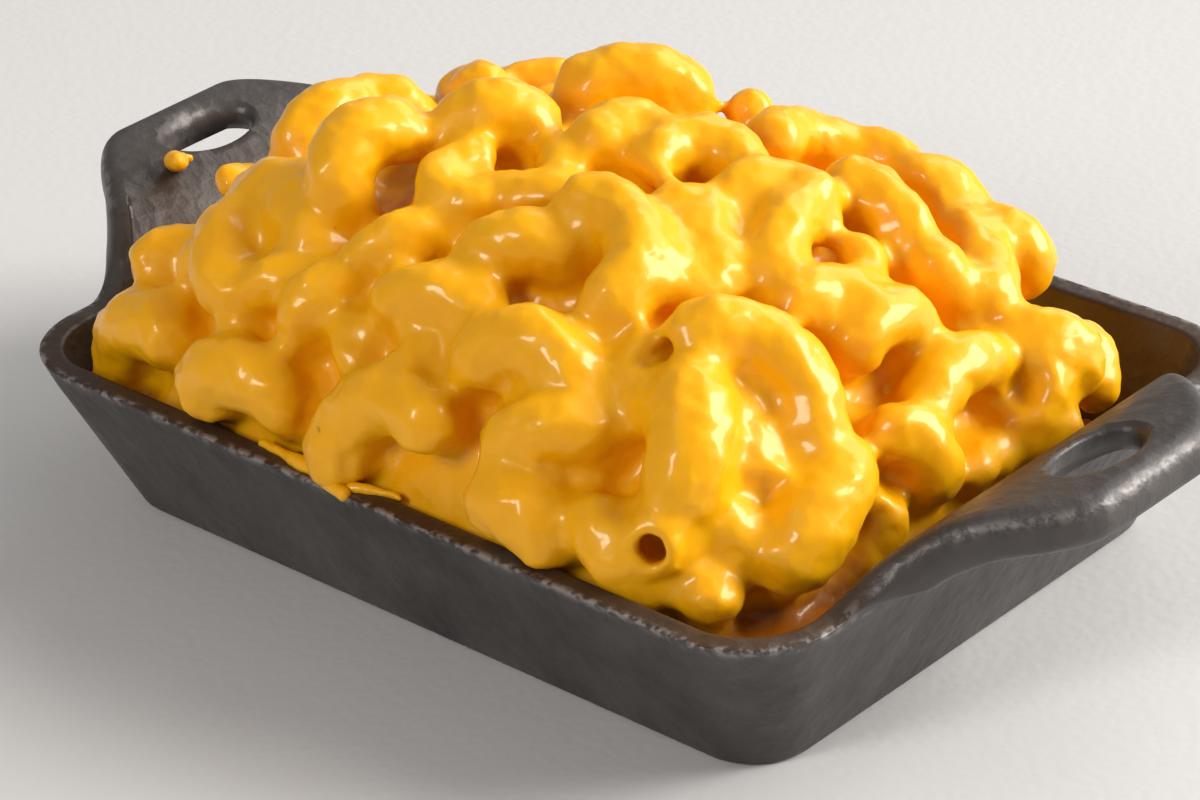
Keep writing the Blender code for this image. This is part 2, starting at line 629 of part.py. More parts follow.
def build_heap(mat):
    """Elbows and cheese fused into one solid, then fitted to the dish."""
    bm = bmesh.new()
    for start, crown, end, radius_a, radius_b in ELBOWS + far_elbows():
        add_tube(bm, bend_line(start, crown, end, 9), radius_a, radius_b)
    add_sauce(bm)
    bmesh.ops.recalc_face_normals(bm, faces=bm.faces)
    raw = bpy.data.meshes.new("raw_heap")
    bm.to_mesh(raw)
    bm.free()

    fused = as_guide(add_object("raw_heap", raw, mat))
    plugs = as_guide(add_object("tube_holes", hole_plugs(), mat))
    remesh = fused.modifiers.new("fuse", "REMESH")
    remesh.mode = "VOXEL"
    remesh.voxel_size = VOXEL * MM
    remesh.adaptivity = 0.0
    smooth = fused.modifiers.new("soften", "SMOOTH")
    smooth.factor = 0.5
    smooth.iterations = 2
    shell = baked(fused, "heap_shell")
    keep_largest(shell)

    heap = add_object("macaroni_heap", shell, mat)
    thin = heap.modifiers.new("thin", "DECIMATE")
    thin.ratio = HEAP_FACES / sum(len(face.vertices) - 2 for face in shell.polygons)
    room = as_guide(add_object("inside_of_dish", inside_of_dish(), mat))
    add_boolean(heap, plugs, "DIFFERENCE")
    add_boolean(heap, room, "INTERSECT")
    final = baked(heap, "macaroni_heap")
    keep_largest(final)
    heap.modifiers.clear()
    heap.data = final
    final.shade_smooth()
    return heap


def main():
    clear_scene()
    iron = make_material("seasoned cast iron", (0.045, 0.039, 0.035), 0.55, 0.3)
    cheese = make_material("macaroni in cheese sauce", (0.90, 0.46, 0.03), 0.3, 0.0)

    dish = add_object("dish", build_dish(), iron)
    for side in (-1, 1):
        name = "ear_hole_left" if side < 0 else "ear_hole_right"
        cutter = as_guide(add_object(name, hole_cutter(side), iron))
        add_boolean(dish, cutter, "DIFFERENCE")
    dish.data.shade_smooth()
    build_heap(cheese)


main()
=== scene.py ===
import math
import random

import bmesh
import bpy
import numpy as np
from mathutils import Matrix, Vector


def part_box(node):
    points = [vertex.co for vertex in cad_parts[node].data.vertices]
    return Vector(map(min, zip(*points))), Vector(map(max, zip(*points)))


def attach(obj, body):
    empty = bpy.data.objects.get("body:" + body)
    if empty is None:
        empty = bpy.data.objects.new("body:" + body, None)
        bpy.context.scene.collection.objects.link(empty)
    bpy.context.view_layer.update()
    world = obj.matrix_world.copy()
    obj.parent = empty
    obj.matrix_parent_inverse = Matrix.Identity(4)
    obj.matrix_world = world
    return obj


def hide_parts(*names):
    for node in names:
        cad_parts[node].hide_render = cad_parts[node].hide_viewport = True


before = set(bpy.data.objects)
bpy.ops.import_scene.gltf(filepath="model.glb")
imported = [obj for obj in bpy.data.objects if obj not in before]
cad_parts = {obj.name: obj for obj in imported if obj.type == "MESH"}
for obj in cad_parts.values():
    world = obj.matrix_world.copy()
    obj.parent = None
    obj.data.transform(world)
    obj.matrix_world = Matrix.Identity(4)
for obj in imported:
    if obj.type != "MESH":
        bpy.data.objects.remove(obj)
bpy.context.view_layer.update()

# Macaroni and cheese in a small cast-iron server: the looks.
#
# The iron is a loft of wall sections. The cheese sauce is one skin, made
# from the frame's heap by a field of distances, with hollow pasta inside it.
# Shape functions work in millimetres and place() turns them into metres.

import openvdb
from bpy.props import FloatProperty, FloatVectorProperty, IntProperty, PointerProperty
from bpy.types import Operator, Panel, PropertyGroup
from mathutils import Matrix, Vector, noise

MM = 0.001
DISH_LOW, DISH_HIGH = [[float(c) / MM for c in corner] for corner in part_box("dish")]
FOOD_LOW, FOOD_HIGH = [[float(c) / MM for c in corner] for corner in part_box("macaroni_heap")]

bl_info = {
    "name": "Macaroni and Cheese",
    "version": (1, 0, 0),
    "blender": (4, 5, 0),
    "location": "3D View > Sidebar > Macaroni",
    "description": "Elbow macaroni in cheese sauce, heaped in a small cast-iron server",
    "category": "Object",
}


def linear(code):
    """sRGB hex code to linear red, green and blue."""
    parts = [int(code[k:k + 2], 16) / 255.0 for k in (1, 3, 5)]
    return tuple(c / 12.92 if c <= 0.04045 else ((c + 0.055) / 1.055) ** 2.4 for c in parts)


# ---- settings ------------------------------------------------------------

class ServerSettings(PropertyGroup):
    """Sizes and colours of the cast-iron server."""
    wall: FloatProperty(
        name="Wall", description="Thickness of the cast wall", default=0.0034, subtype="DISTANCE")
    floor: FloatProperty(
        name="Floor", description="Thickness of the floor", default=0.004, subtype="DISTANCE")
    ear_plate: FloatProperty(
        name="Ear plate", description="Thickness of an ear beside its slot", default=0.004,
        subtype="DISTANCE")
    slot_half_width: FloatProperty(
        name="Slot half width", description="Half width of the slot in each ear", default=0.0076,
        subtype="DISTANCE")
    slot_half_depth: FloatProperty(
        name="Slot half depth", description="Half depth of the slot in each ear", default=0.0044,
        subtype="DISTANCE")
    iron: FloatVectorProperty(
        name="Iron", description="Oiled, seasoned iron", default=linear("#494441"), subtype="COLOR")
    # Bare metal on rubbed edges; the same grey also paints the highlight on the ears' beads.
    bare_metal_and_highlight: FloatVectorProperty(
        name="Worn iron", description="Bare metal where the edges are rubbed",
        default=linear("#8D8580"), subtype="COLOR")
    stain: FloatVectorProperty(
        name="Baked-on oil", description="Brown film inside the walls", default=linear("#3C2A1A"),
        subtype="COLOR")


class SauceSettings(PropertyGroup):
    """The skin of cheese sauce."""
    melt: IntProperty(
        name="Melt", description="How often the heap's edges and valleys are evened out",
        default=6)
    cling: FloatProperty(
        name="Cling", description="How closely sauce follows each elbow into the valleys",
        default=0.85)
    lip: FloatProperty(
        name="Lip", description="How widely a spill melts together", default=0.0009,
        subtype="DISTANCE")
    voxel: FloatProperty(
        name="Voxel", description="Grid step of the skin", default=0.0005, subtype="DISTANCE")
    faces: IntProperty(
        name="Triangles", description="Triangles kept in the skin", default=190000)
    colour: FloatVectorProperty(
        name="Sauce", description="Cheddar sauce on a ridge", default=linear("#E8A500"),
        subtype="COLOR")
    # Painted shade: the darker orange laid into the hollows, where little light gets in.
    hollow_shade: FloatVectorProperty(
        name="Deep sauce", description="Thick sauce in a hollow", default=linear("#D47A00"),
        subtype="COLOR")
    # Brown for the low sauce: partly thin oily sauce, partly painted shade where it lies low.
    pool: FloatVectorProperty(
        name="Pool", description="Oil and thin sauce low in the corner", default=linear("#9A5408"),
        subtype="COLOR")


class PastaSettings(PropertyGroup):
    """The hollow elbows inside the sauce."""
    coat: FloatProperty(
        name="Coat", description="Sauce over the pasta", default=0.0007, subtype="DISTANCE")
    wall: FloatProperty(
        name="Pasta wall", description="Wall of an elbow", default=0.0011, subtype="DISTANCE")
    sides: IntProperty(name="Sides", description="Sides of an elbow's tube", default=14)
    colour: FloatVectorProperty(
        name="Pasta", description="Cooked durum pasta under sauce", default=linear("#F0C050"),
        subtype="COLOR")


class StageSettings(PropertyGroup):
    """Table, lights and camera."""
    table: FloatVectorProperty(
        name="Table", description="Pale matt table", default=linear("#C6C4C2"), subtype="COLOR")
    key: FloatProperty(
        name="Key light", description="Power of the key light in watts", default=108.0)
    fill: FloatProperty(
        name="Fill light", description="Power of the fill light in watts", default=3.2)
    back: FloatProperty(
        name="Back light", description="Power of the light behind the food in watts", default=15.0)
    sky: FloatProperty(
        name="Room", description="Brightness of the room", default=0.28)


# ---- the heap's plan, as in the solid it stands for -----------------------

RIM_HALF_LENGTH = 70.0
RIM_HALF_WIDTH = DISH_HIGH[1] + 0.18      # the corners' facets lose this much
RIM_HEIGHT = 24.7
RIM_CORNER_R = 13.4
BASE_INSET = 10.0
BASE_CORNER_R = 8.7
BASE_EDGE_R = 1.6
FLOOR_FILLET = 5.0
SHARPEST_CORNER_R = 0.6
WALL_ANGLE = math.atan2(RIM_HEIGHT, BASE_INSET)

EAR_ROLL_R = 18.2
EAR_TIP_SLOPE = math.radians(9.0)
EAR_REACH = 27.0
EAR_FLAT_HALF = 9.5
EAR_ROOT_HALF = {1: 38.3, -1: 35.2}
SLOT_AT = 19.0
SLOT_MOUTH = 1.2
SLOT_STEPS = 48
SLOT_SLANT = 0.3               # how much the slot leans to the bowl on its way down
CUT_ABOVE = 6.0
CUT_BELOW = 9.0
MOUTH_SPREAD = (0.3, 0.4)
EAR_BLEND = (0.5, 9.0)
RIM_EDGE = [(-0.5, 0.0), (0.05, 0.3), (0.6, 1.6), (1.1, 2.8), (0.9, 3.15), (-0.6, 3.15),
            (-1.6, 3.15), (-2.6, 3.15)]
EAR_EDGE = [(-1.2, 0.0), (0.0, 0.3), (1.0, 1.4), (1.3, 3.0), (1.0, 5.0), (-0.2, 6.3),
            (-2.5, 6.4), (-5.4, 4.4)]
EDGE_FINENESS = 3              # steps between two points of the edge profile
TOP_ROWS = 14
TOP_START = -0.6
UNDER_ROWS = 10
UNDER_END = -3.0
FLOOR_FILLET_STEPS = 8
BASE_EDGE_STEPS = 5
RUB_AT = -0.35                 # where the rubbed line runs, out from the rim's plan
RUB_HALF = 0.5
RUB_DROP = 1.2                 # how soon the rubbed line fades above and below the rim
# Painted highlight, partly metal rubbed bare: grey specks on the ears' beads where their faces tilt
# up.
BEAD_TILT = (0.55, 0.2)        # upward tilt of a bead's face where its painted highlight and rubbed specks go, and its spread
BEAD_FROM = (31.0, 34.0)       # heights over which an ear's bead begins to get its painted highlight and rubbed specks
PAST_SLOT_X = (84.0, 87.0)     # the bead's painted highlight and rubbed specks lie past the slot, not inside it
PAST_SLOT_Y = (11.0, 13.0)
BEAD_WEAR_AND_HIGHLIGHT = 0.6
INSIDE_TILT = (0.05, -0.5)     # a face that leans to the middle is an inner one
FILM_HEIGHTS = (41.0, 27.0)    # the film inside ends over these heights
FILM_ENDS = (82.0, 70.0)       # along an ear, where the oily film ends
FLAT_TILT = (0.3, 0.8)         # upward tilt that counts as the rim's top
RIM_FILM_UNDER = (2.0, 0.5)    # the film on the rim's top starts this far under it

# The room that the sauce is cut to: inside the walls, and over the rim as
# far as OVERHANG past the long sides.
OVERHANG = 0.5
WALL_FIT = 0.15                # the cut lies this far behind the iron's inner face
WALL_FIT_ROUNDING = 0.6
FIELD_ROOM = 2.0               # the grid reaches this far round the food
FIELD_ROOM_UNDER = 1.0
# how far out the painted shade of the hollows looks for open room
SHADE_REACHES = (1.2, 2.4, 4.8)
RIPPLES = ((4.6, 0.5), (1.9, 0.22), (1.0, 0.07))   # spacing and height of the lumps
BURIED_SHARE = 0.8             # share of a tube's radius that has to lie under sauce

# The heap's rounded top, under which the loose elbows lie.
MOUND_CENTRE = (-1.9, -2.8)
MOUND_HALF = (60.0, 45.0)
MOUND_FOOT = 21.0
MOUND_RISE = 35.0
MOUND_SQUARENESS = 3.75
MOUND_ROUNDNESS = 1.9
EMPTY_CORNER_NORMAL = (0.6, 0.8)
EMPTY_CORNER_AT = 55.0
CORNER_FALL = (9.0, 4.0)
CORNER_LEVEL = 7.0
CORNER_DEPTH = 4.5
LOW_SHADE_LEVELS = (21.0, 17.5)     # heights between which the sauce turns to the brown of thin oily sauce and painted shade

# Loose elbows inside the heap, laid by a seeded draw.
PASTA_SEED = 7
PASTA_TRIES = 3000
PASTA_SPACING = 10.0
PASTA_UNDER = (5.0, 16.0)      # how far under the top layer an elbow lies
PASTA_BEND_R = 8.0
PASTA_HALF_BEND = (0.8, 1.25)  # half of the bend, in radians
PASTA_RADIUS = (4.1, 5.0)

# Smears on the front rim and a crumb on the left ear, as lines through
# places (x, y, z, radius).
SPILLS = [
    [(-20, -48.3, 24.7, 0.5), (-15.4, -48.9, 24.9, 0.8), (-10.2, -49.6, 25, 0.9),
     (-5.6, -50.4, 24.9, 1.0), (-2, -51.4, 24.5, 0.9)],
    [(-2, -49.6, 24.8, 0.7), (0.9, -48.7, 24.9, 0.5), (3.6, -48, 24.8, 0.6), (5, -47.9, 24.7, 0.3)],
    [(-76.6, -10.2, 35.5, 1.2), (-75, -11.5, 36.2, 1.8), (-73.4, -12.6, 36.9, 1.4)],
    [(-75.4, -10.6, 36.2, 1.2), (-74.6, -9.6, 36.1, 0.6)],
]
SPILL_VOXEL = 0.25


def place(point):
    return tuple(c * MM for c in point)


def smoothstep(low, high, value):
    u = np.clip((value - low) / (high - low), 0.0, 1.0)
    return u * u * (3.0 - 2.0 * u)


# ---- nodes and materials -------------------------------------------------

def add_node(tree, kind, inputs=None, **settings):
    """Add a node, set its properties, and set or link its inputs."""
    node = tree.nodes.new(kind)
    for name, value in settings.items():
        setattr(node, name, value)
    for key, value in (inputs or {}).items():
        if isinstance(value, bpy.types.NodeSocket):
            tree.links.new(value, node.inputs[key])
        else:
            node.inputs[key].default_value = value
    return node


def new_material(name):
    mat = bpy.data.materials.new(name)
    mat.use_nodes = True
    mat.node_tree.nodes.clear()
    return mat, mat.node_tree


def finish_material(tree, shader):
    add_node(tree, "ShaderNodeOutputMaterial", {"Surface": shader.outputs[0]})


def ramp(tree, value, low, high):
    """Value mapped from low..high to 0..1 with eased ends."""
    node = add_node(tree, "ShaderNodeMapRange", {"Value": value, "From Min": low, "From Max": high},
                    interpolation_type="SMOOTHSTEP")
    return node.outputs["Result"]


def rgba(colour):
    return (*colour, 1.0)


def seasoned_iron(settings):
    """Seasoned cast iron, sand cast: a dark oiled skin over a pebbly grain,
    rubbed to grey metal on the edges, with a painted highlight of grey specks on the ears' beads, and
    filmed with brown oil inside."""
    mat, tree = new_material("seasoned_cast_iron")
    place_at = add_node(tree, "ShaderNodeTexCoord").outputs["Object"]
    axes = add_node(tree, "ShaderNodeSeparateXYZ", {"Vector": place_at})
    height = axes.outputs["Z"]

    # sand grain 0.5 to 1 mm, drawn at 0.9 mm so that it shows
    grain = add_node(tree, "ShaderNodeTexNoise",
                     {"Vector": place_at, "Scale": 1.0 / 0.0018, "Detail": 3.0, "Roughness": 0.6})
    pits = add_node(tree, "ShaderNodeTexVoronoi", {"Vector": place_at, "Scale": 1.0 / 0.0026},
                    feature="F1")
    cloud = add_node(tree, "ShaderNodeTexNoise",
                     {"Vector": place_at, "Scale": 1.0 / 0.022, "Detail": 4.0, "Roughness": 0.6})
    wear = add_node(tree, "ShaderNodeAttribute", attribute_name="wear")
    film = add_node(tree, "ShaderNodeAttribute", attribute_name="film")

    patchy = ramp(tree, cloud.outputs["Fac"], 0.35, 0.68)
    darker = add_node(tree, "ShaderNodeMix",
                      {"Factor": patchy, "A": rgba(settings.iron),
                       "B": rgba([c * 0.55 for c in settings.iron])}, data_type="RGBA")
    filmed_share = add_node(tree, "ShaderNodeMath",
                            {0: film.outputs["Fac"], 1: ramp(tree, cloud.outputs["Fac"], 0.25, 0.6)},
                            operation="MULTIPLY")
    filmed = add_node(tree, "ShaderNodeMix",
                      {"Factor": filmed_share.outputs[0], "A": darker.outputs["Result"],
                       "B": rgba(settings.stain)}, data_type="RGBA")
    # rubbed grey metal on the edges, and the painted highlight on the ears' beads, both in grain
    # specks
    rub_and_highlight = add_node(tree, "ShaderNodeMath",
                   {0: wear.outputs["Fac"], 1: ramp(tree, grain.outputs["Fac"], 0.43, 0.6)},
                   operation="MULTIPLY")
    colour = add_node(tree, "ShaderNodeMix",
                      {"Factor": rub_and_highlight.outputs[0], "A": filmed.outputs["Result"],
                       "B": rgba(settings.bare_metal_and_highlight)}, data_type="RGBA")
    shine = add_node(tree, "ShaderNodeMapRange",
                     {"Value": cloud.outputs["Fac"], "From Min": 0.3, "From Max": 0.7,
                      "To Min": 0.36, "To Max": 0.54})
    relief = add_node(tree, "ShaderNodeMath",
                      {0: grain.outputs["Fac"], 1: pits.outputs["Distance"]}, operation="ADD")
    bump = add_node(tree, "ShaderNodeBump",
                    {"Height": relief.outputs[0], "Strength": 0.45, "Distance": 0.00035})
    shader = add_node(tree, "ShaderNodeBsdfPrincipled",
                      {"Base Color": colour.outputs["Result"], "Roughness": shine.outputs["Result"],
                       "Normal": bump.outputs["Normal"], "Metallic": 0.25})
    finish_material(tree, shader)
    return mat


def cheese_skin(settings):
    """Cheddar sauce, poured hot and set: opaque and glossy, with light
    soaking a few millimetres in, painted shade as a deeper orange in the hollows, and a painted brown
    shade low in the server, where thin oily sauce lies."""
    mat, tree = new_material("cheese_sauce")
    place_at = add_node(tree, "ShaderNodeTexCoord").outputs["Object"]
    # how shut in each point is, read as painted shade in the hollows
    hollow = add_node(tree, "ShaderNodeAttribute", attribute_name="hollow")
    mottle = add_node(tree, "ShaderNodeTexNoise",
                      {"Vector": place_at, "Scale": 1.0 / 0.009, "Detail": 3.0, "Roughness": 0.55})
    curd = add_node(tree, "ShaderNodeTexNoise",
                    {"Vector": place_at, "Scale": 1.0 / 0.0016, "Detail": 3.0, "Roughness": 0.55})
    depth = add_node(tree, "ShaderNodeMath",
                     {0: mottle.outputs["Fac"], 1: -0.5}, operation="ADD")
    # random mottle, plus painted shade in the hollows, toward the deeper orange
    mottle_and_shade = add_node(tree, "ShaderNodeMath",
                      {0: depth.outputs[0], 1: 0.5, 2: ramp(tree, hollow.outputs["Fac"], 0.25, 0.95)},
                      operation="MULTIPLY_ADD", use_clamp=True)
    colour = add_node(tree, "ShaderNodeMix",
                      {"Factor": mottle_and_shade.outputs[0], "A": rgba(settings.colour),
                       "B": rgba(settings.hollow_shade)}, data_type="RGBA")
    # Painted shade, partly thin oily sauce: the sauce turns brown low in the server.
    height = add_node(tree, "ShaderNodeSeparateXYZ", {"Vector": place_at}).outputs["Z"]
    low = ramp(tree, height, LOW_SHADE_LEVELS[0] * MM, LOW_SHADE_LEVELS[1] * MM)
    oil_and_low_shade_mix = add_node(tree, "ShaderNodeMix",
                      {"Factor": low, "A": colour.outputs["Result"], "B": rgba(settings.pool)},
                      data_type="RGBA")
    bump = add_node(tree, "ShaderNodeBump",
                    {"Height": curd.outputs["Fac"], "Strength": 0.12, "Distance": 0.0003})
    gloss = add_node(tree, "ShaderNodeMapRange",
                     {"Value": mottle.outputs["Fac"], "From Min": 0.3, "From Max": 0.7,
                      "To Min": 0.38, "To Max": 0.52})
    shader = add_node(tree, "ShaderNodeBsdfPrincipled",
                      {"Base Color": oil_and_low_shade_mix.outputs["Result"], "Roughness": gloss.outputs["Result"],
                       "Normal": bump.outputs["Normal"], "Subsurface Weight": 0.3,
                       "Subsurface Radius": (0.9, 0.5, 0.12), "Subsurface Scale": 0.003,
                       "Specular Tint": (1.0, 0.92, 0.5, 1.0), "IOR": 1.45,
                       "Coat Weight": 0.4, "Coat Roughness": 0.08, "Coat IOR": 1.4})
    finish_material(tree, shader)
    return mat


def cooked_pasta(settings):
    """Cooked durum pasta, extruded: a damp, slightly clear skin."""
    mat, tree = new_material("cooked_pasta")
    place_at = add_node(tree, "ShaderNodeTexCoord").outputs["Object"]
    starch = add_node(tree, "ShaderNodeTexNoise",
                      {"Vector": place_at, "Scale": 1.0 / 0.0035, "Detail": 2.0})
    colour = add_node(tree, "ShaderNodeMix",
                      {"Factor": ramp(tree, starch.outputs["Fac"], 0.35, 0.7),
                       "A": rgba(settings.colour), "B": rgba([c * 0.8 for c in settings.colour])},
                      data_type="RGBA")
    shader = add_node(tree, "ShaderNodeBsdfPrincipled",
                      {"Base Color": colour.outputs["Result"], "Roughness": 0.35,
                       "Subsurface Weight": 0.4, "Subsurface Radius": (1.0, 0.6, 0.2),
                       "Subsurface Scale": 0.002, "IOR": 1.42})
    finish_material(tree, shader)
    return mat


def table_top(settings):
    """Pale matt laminate with a fine leather grain."""
    mat, tree = new_material("pale_table")
    place_at = add_node(tree, "ShaderNodeTexCoord").outputs["Object"]
    leather = add_node(tree, "ShaderNodeTexVoronoi", {"Vector": place_at, "Scale": 1.0 / 0.0014},
                       feature="SMOOTH_F1")
    bump = add_node(tree, "ShaderNodeBump",
                    {"Height": leather.outputs["Distance"], "Strength": 0.25, "Distance": 0.0002})
    shader = add_node(tree, "ShaderNodeBsdfPrincipled",
                      {"Base Color": rgba(settings.table), "Roughness": 0.6,
                       "Normal": bump.outputs["Normal"]})
    finish_material(tree, shader)
    return mat


# ---- cast-iron server ----------------------------------------------------

def corner_radius(lean, inward):
    """Plan corner radius where the wall has leaned in and moved inward."""
    share = (RIM_CORNER_R - BASE_CORNER_R) / BASE_INSET
    return max(RIM_CORNER_R - share * lean - inward, SHARPEST_CORNER_R)


def stations(end_steps, corner_steps, side_steps):
    """Places round the plan: (kind, where), kind 0..3 straight, 4..7 corner."""
    out = []
    for side in range(4):
        steps = end_steps if side % 2 == 0 else side_steps
        out += [(side, -1.0 + 2.0 * k / steps) for k in range(steps + 1)]
        out += [(side + 4, k / corner_steps) for k in range(1, corner_steps)]
    return out


def plan_point(station, half_x, half_y, radius, shift=0.0):
    """Point of a rounded rectangle, going round from the +X end wall."""
    kind, where = station
    turn = (kind % 4) * math.pi / 2.0
    length, width = (half_x, half_y) if kind % 2 == 0 else (half_y, half_x)
    if kind < 4:
        x, y = length, where * (width - radius) + shift
    else:
        bend = where * math.pi / 2.0
        x = length - radius + radius * math.cos(bend)
        y = width - radius + radius * math.sin(bend)
    c, s = round(math.cos(turn)), round(math.sin(turn))
    return (c * x - s * y, s * x + c * y)


def ear_reach(y, end):
    """How far the ear runs along the roll at this place across the end."""
    return EAR_REACH * (1.0 - float(smoothstep(EAR_FLAT_HALF, EAR_ROOT_HALF[end], abs(y))))


def roll(t, depth, wall):
    """Ear section: along the roll t, then depth below its upper face."""
    bend = WALL_ANGLE - EAR_TIP_SLOPE
    arc = min(max(t / EAR_ROLL_R, 0.0), bend)
    slope = WALL_ANGLE - arc
    x = EAR_ROLL_R * (math.sin(WALL_ANGLE) - math.sin(slope))
    z = EAR_ROLL_R * (math.cos(slope) - math.cos(WALL_ANGLE))
    straight = t - EAR_ROLL_R * arc if t > 0.0 else t
    x += straight * math.cos(slope) + depth * math.sin(slope)
    z += straight * math.sin(slope) - depth * math.cos(slope)
    return RIM_HALF_LENGTH - wall + x, RIM_HEIGHT + z


def rounded_profile(points):
    """The edge profile with smooth steps between its points."""
    out = []
    last = len(points) - 1
    for k in range(last):
        a, b, c, d = (Vector(points[min(max(k + n, 0), last)]) for n in (-1, 0, 1, 2))
        for step in range(EDGE_FINENESS):
            u = step / EDGE_FINENESS
            p = b * 2.0 + (c - a) * u + (a * 2.0 - b * 5.0 + c * 4.0 - d) * u ** 2
            p += (b * 3.0 - c * 3.0 + d - a) * u ** 3
            out.append(tuple(p * 0.5))
    return out + [points[last]]


FINE_RIM = rounded_profile(RIM_EDGE)
FINE_EAR = rounded_profile(EAR_EDGE)


def edge_rows(y, end, wall):
    """Rows of one ear section: upper face, bead and under face."""
    reach = ear_reach(y, end)
    step = 0.05
    slope = (ear_reach(y + step, end) - ear_reach(y - step, end)) / (2.0 * step)
    lean = 1.0 / math.hypot(slope, 1.0)
    ear = float(smoothstep(*EAR_BLEND, reach))
    edge = [tuple(r + (e - r) * ear for r, e in zip(rim, bead))
            for rim, bead in zip(FINE_RIM, FINE_EAR)]
    rows = []
    for k in range(TOP_ROWS):
        u = k / TOP_ROWS
        rows.append((y, (reach + edge[0][0]) * u + TOP_START * (1.0 - u), 0.0))
    for past, depth in edge:
        rows.append((y - slope * lean * past, reach + past * lean, depth))
    last_y, last_t, last_depth = rows[-1]
    for k in range(1, UNDER_ROWS + 1):
        u = k / UNDER_ROWS
        depth = last_depth + (wall * math.sin(WALL_ANGLE) - last_depth) * u
        rows.append((last_y + (y - last_y) * u, last_t + (UNDER_END - last_t) * u, depth))
    return rows


def wall_section(station, wall, floor):
    """One section of the server, from the floor up, over and down to the base."""
    rows = []
    floor_lean = BASE_INSET * (1.0 - floor / RIM_HEIGHT)
    for k in range(FLOOR_FILLET_STEPS + 1):
        bend = k / FLOOR_FILLET_STEPS * WALL_ANGLE
        lean = floor_lean + FLOOR_FILLET * (math.tan(WALL_ANGLE / 2.0) - math.sin(bend))
        rows.append(("level", lean, wall, floor + FLOOR_FILLET * (1.0 - math.cos(bend))))
    kind, where = station
    end = {0: 1, 2: -1}.get(kind, 0)
    y = end * where * (RIM_HALF_WIDTH - RIM_CORNER_R) if end else RIM_HALF_WIDTH
    for row_y, t, depth in edge_rows(y, end or 1, wall):
        x, z = roll(t, depth, wall)
        rows.append(("rim", (row_y - y) * (end or 1), x, z))
    for k in range(BASE_EDGE_STEPS + 1):
        bend = (1.0 - k / BASE_EDGE_STEPS) * WALL_ANGLE
        lean = BASE_INSET + BASE_EDGE_R * (math.tan(WALL_ANGLE / 2.0) - math.sin(bend))
        rows.append(("level", lean, 0.0, BASE_EDGE_R * (1.0 - math.cos(bend))))
    return rows


def server_point(station, row):
    if row[0] == "level":
        _, lean, inward, z = row
        inset = lean + inward
        radius = corner_radius(lean, inward)
        x, y = plan_point(station, RIM_HALF_LENGTH - inset, RIM_HALF_WIDTH - inset, radius)
    else:
        _, shift, reach_x, z = row
        inset = RIM_HALF_LENGTH - reach_x
        radius = corner_radius(0.0, max(inset, 0.0))
        inset_y = inset
        if station[0] in (0, 2):
            radius = RIM_CORNER_R
            inset_y = 0.0
        half_y = RIM_HALF_WIDTH - inset_y
        x, y = plan_point(station, RIM_HALF_LENGTH - inset, half_y, radius, shift)
    return (x, y, z)


def server_mesh(wall, floor):
    bm = bmesh.new()
    columns = []
    for station in stations(end_steps=96, corner_steps=16, side_steps=24):
        points = [server_point(station, row) for row in wall_section(station, wall, floor)]
        columns.append([bm.verts.new(place(point)) for point in points])
    count = len(columns)
    for i, column in enumerate(columns):
        after = columns[(i + 1) % count]
        for j in range(len(column) - 1):
            bm.faces.new((column[j], after[j], after[j + 1], column[j + 1]))
    bm.faces.new([column[0] for column in columns])
    bm.faces.new([column[-1] for column in reversed(columns)])
    bmesh.ops.recalc_face_normals(bm, faces=bm.faces)
    mesh = bpy.data.meshes.new("cast_server")
    bm.to_mesh(mesh)
    bm.free()
    return mesh


def slot_cutter(side, settings):
    """Oval plug through one ear, flared at both mouths."""
    wall, plate = settings.wall / MM, settings.ear_plate / MM
    slope = EAR_TIP_SLOPE
    x0, z0 = roll(SLOT_AT, 0.0, wall)
    along = Vector((math.cos(slope), 0.0, math.sin(slope)))
    down = Vector((math.sin(slope), 0.0, -math.cos(slope)))
    levels = [(-CUT_ABOVE, SLOT_MOUTH), (-MOUTH_SPREAD[0], SLOT_MOUTH), (SLOT_MOUTH, 0.0),
              (plate - SLOT_MOUTH, 0.0), (plate + MOUTH_SPREAD[1], SLOT_MOUTH),
              (plate + CUT_BELOW, SLOT_MOUTH)]
    bm = bmesh.new()
    rings = []
    for depth, grow in levels:
        ring = []
        for k in range(SLOT_STEPS):
            turn = 2.0 * math.pi * k / SLOT_STEPS
            across = (settings.slot_half_width / MM + grow) * math.cos(turn)
            reach = (settings.slot_half_depth / MM + grow) * math.sin(turn)
            p = Vector((x0, 0.0, z0)) + along * (reach - SLOT_SLANT * depth) + down * depth
            ring.append(bm.verts.new(place((side * p.x, across, p.z))))
        rings.append(ring)
    for low, high in zip(rings, rings[1:]):
        for k in range(SLOT_STEPS):
            n = (k + 1) % SLOT_STEPS
            bm.faces.new((low[k], low[n], high[n], high[k]))
    bm.faces.new(rings[0])
    bm.faces.new(list(reversed(rings[-1])))
    bmesh.ops.recalc_face_normals(bm, faces=bm.faces)
    mesh = bpy.data.meshes.new("slot")
    bm.to_mesh(mesh)
    bm.free()
    return mesh


def add_object(name, mesh, mat=None):
    obj = bpy.data.objects.new(name, mesh)
    bpy.context.scene.collection.objects.link(obj)
    if mat is not None:
        mesh.materials.append(mat)
    return obj


def baked(obj, name):
    """The object's evaluated shape as a plain mesh, in place of its modifiers."""
    graph = bpy.context.evaluated_depsgraph_get()
    graph.update()
    mesh = bpy.data.meshes.new_from_object(obj.evaluated_get(graph))
    mesh.name = name
    obj.modifiers.clear()
    obj.data = mesh
    return mesh


def set_attribute(mesh, name, values):
    layer = mesh.attributes.new(name, "FLOAT", "POINT")
    layer.data.foreach_set("value", np.asarray(values, np.float32))


def point_array(mesh, source="co"):
    data = np.empty(len(mesh.vertices) * 3, np.float32)
    if source == "co":
        mesh.vertices.foreach_get("co", data)
    else:
        mesh.vertex_normals.foreach_get("vector", data)
    return data.reshape(-1, 3)


